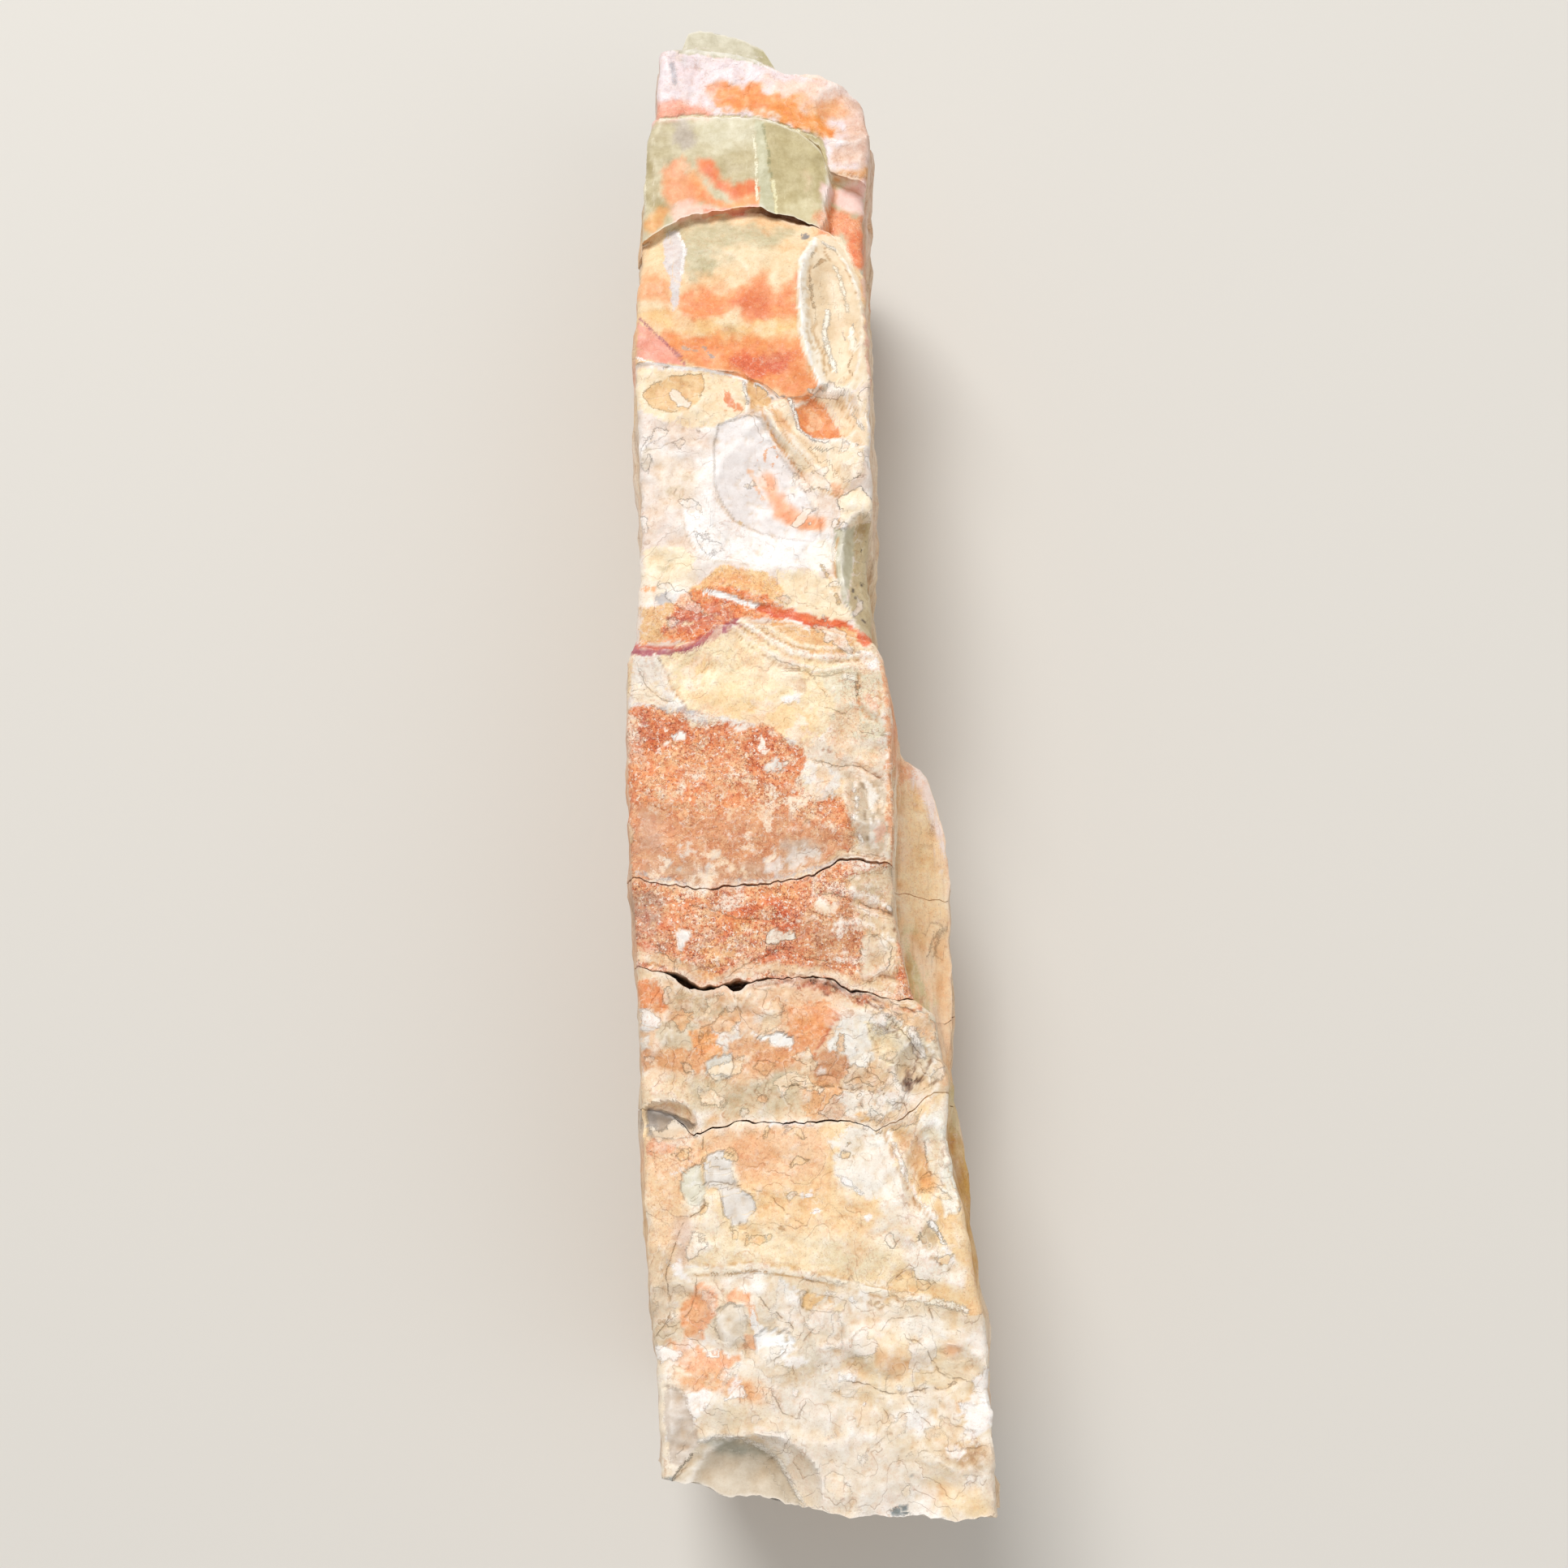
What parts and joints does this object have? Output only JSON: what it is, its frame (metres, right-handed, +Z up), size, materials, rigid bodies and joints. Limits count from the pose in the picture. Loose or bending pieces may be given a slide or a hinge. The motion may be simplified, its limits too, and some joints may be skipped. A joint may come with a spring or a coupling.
{
  "type": "petrified wood",
  "caption": "Long split piece of petrified wood lying on its back, with a broken face crossed by cracks, flake scars and a low side bench.",
  "frame": {"origin": "middle of the stone's footprint, at the height it rests on", "axes": "+Z up out of the broken face, +Y along the grain towards the narrow end, +X towards the side with the low bench"},
  "size_m": [0.077, 0.3415, 0.0741],
  "materials": {
    "agatised_wood": "broken silica stone, waxy to chalky, cream and white with orange rust"
  },
  "bodies": {
    "root": {"petrified_wood": "agatised_wood"}
  },
  "joints": []
}
